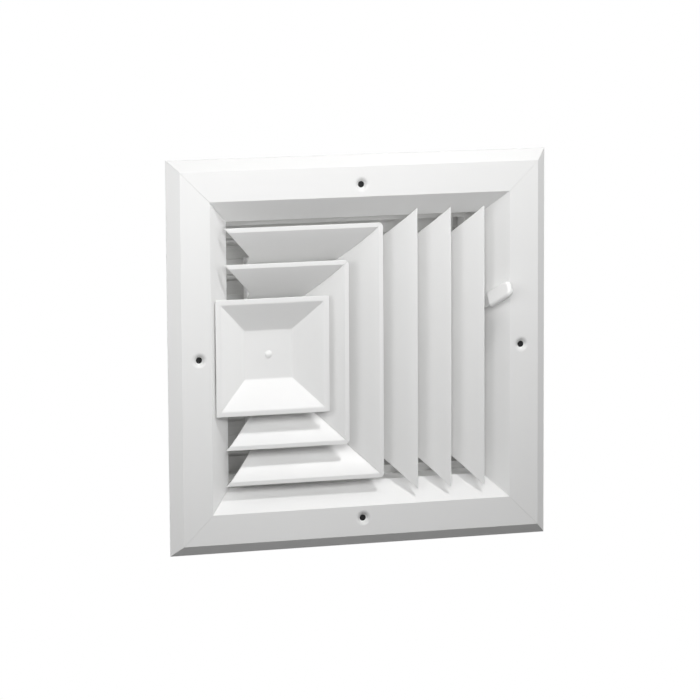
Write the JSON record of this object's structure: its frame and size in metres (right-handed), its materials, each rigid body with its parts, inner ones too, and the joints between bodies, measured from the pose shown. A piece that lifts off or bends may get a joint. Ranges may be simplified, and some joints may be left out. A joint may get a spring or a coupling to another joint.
{
  "type": "ceiling air diffuser",
  "caption": "Square ceiling air diffuser with a bevelled flange, nested U vanes, straight vanes and a dished centre plate, over a lever-operated shutter damper.",
  "frame": {"origin": "centre of the ceiling plane, on which the frame's outer feet rest, on the axis of the square collar", "axes": "+Y back into the duct, +Z up as pictured, +X to the right seen from the face; in a ceiling +Y points up"},
  "size_m": [0.295, 0.0862, 0.295],
  "materials": {
    "white_paint": "satin white powder coat on aluminium",
    "plain_aluminium": "plain aluminium sheet",
    "zinc_steel": "zinc-plated steel",
    "painted_steel": "satin white paint on steel",
    "white_plastic": "moulded white plastic"
  },
  "bodies": {
    "housing": {"frame_top": "white_paint", "frame_right": "white_paint", "frame_bottom": "white_paint", "frame_left": "white_paint", "corner_keys": "zinc_steel", "u_outer_top": "white_paint", "u_outer_right": "white_paint", "u_outer_bottom": "white_paint", "u_inner_top": "white_paint", "u_inner_right": "white_paint", "u_inner_bottom": "white_paint", "straight_vane_1": "white_paint", "straight_vane_2": "white_paint", "straight_vane_3": "white_paint", "dish": "white_paint", "dish_rivet": "white_paint", "dish_bracket": "white_paint", "upright_bar": "white_paint", "cross_bar_top": "white_paint", "cross_bar_bottom": "white_paint", "core_rivets": "zinc_steel", "damper_top": "plain_aluminium", "damper_right": "plain_aluminium", "damper_bottom": "plain_aluminium", "damper_left": "plain_aluminium", "damper_rivets": "zinc_steel"},
    "drive_blade": {"blade_4": "plain_aluminium", "blade_rod_4": "zinc_steel", "lever_arm": "painted_steel", "lever_knob": "white_plastic", "lever_rivets": "zinc_steel"},
    "damper_blade_1": {"blade_1": "plain_aluminium", "blade_rod_1": "zinc_steel"},
    "damper_blade_2": {"blade_2": "plain_aluminium", "blade_rod_2": "zinc_steel"},
    "damper_blade_3": {"blade_3": "plain_aluminium", "blade_rod_3": "zinc_steel"},
    "damper_blade_5": {"blade_5": "plain_aluminium", "blade_rod_5": "zinc_steel"},
    "damper_blade_6": {"blade_6": "plain_aluminium", "blade_rod_6": "zinc_steel"},
    "damper_blade_7": {"blade_7": "plain_aluminium", "blade_rod_7": "zinc_steel"},
    "tie": {"tie_bar": "plain_aluminium", "tie_pins": "zinc_steel"}
  },
  "joints": [
    {"name": "lever_swing", "type": "hinge", "parent": "housing", "child": "drive_blade", "pos_m": [0, 0.04577, 0], "axis": [1, 0, 0], "range_deg": [-0.3, 68.1]},
    {"name": "blade_1_turn", "type": "hinge", "parent": "housing", "child": "damper_blade_1", "pos_m": [0, 0.04577, 0.08031], "axis": [1, 0, 0], "range_deg": [-0.3, 68.1]},
    {"name": "blade_2_turn", "type": "hinge", "parent": "housing", "child": "damper_blade_2", "pos_m": [0, 0.04577, 0.05354], "axis": [1, 0, 0], "range_deg": [-0.3, 68.1]},
    {"name": "blade_3_turn", "type": "hinge", "parent": "housing", "child": "damper_blade_3", "pos_m": [0, 0.04577, 0.02677], "axis": [1, 0, 0], "range_deg": [-0.3, 68.1]},
    {"name": "blade_5_turn", "type": "hinge", "parent": "housing", "child": "damper_blade_5", "pos_m": [0, 0.04577, -0.02677], "axis": [1, 0, 0], "range_deg": [-0.3, 68.1]},
    {"name": "blade_6_turn", "type": "hinge", "parent": "housing", "child": "damper_blade_6", "pos_m": [0, 0.04577, -0.05354], "axis": [1, 0, 0], "range_deg": [-0.3, 68.1]},
    {"name": "blade_7_turn", "type": "hinge", "parent": "housing", "child": "damper_blade_7", "pos_m": [0, 0.04577, -0.08031], "axis": [1, 0, 0], "range_deg": [-0.3, 68.1]},
    {"name": "tie_turn", "type": "hinge", "parent": "drive_blade", "child": "tie", "pos_m": [0.0915, 0.05324, -0.00502], "axis": [1, 0, 0], "range_deg": [-68.1, 0.3]}
  ],
  "couplings": [
    {"joint": "blade_1_turn", "follows": "lever_swing", "ratio": 1},
    {"joint": "blade_2_turn", "follows": "lever_swing", "ratio": 1},
    {"joint": "blade_3_turn", "follows": "lever_swing", "ratio": 1},
    {"joint": "blade_5_turn", "follows": "lever_swing", "ratio": 1},
    {"joint": "blade_6_turn", "follows": "lever_swing", "ratio": 1},
    {"joint": "blade_7_turn", "follows": "lever_swing", "ratio": 1},
    {"joint": "tie_turn", "follows": "lever_swing", "ratio": -1}
  ]
}
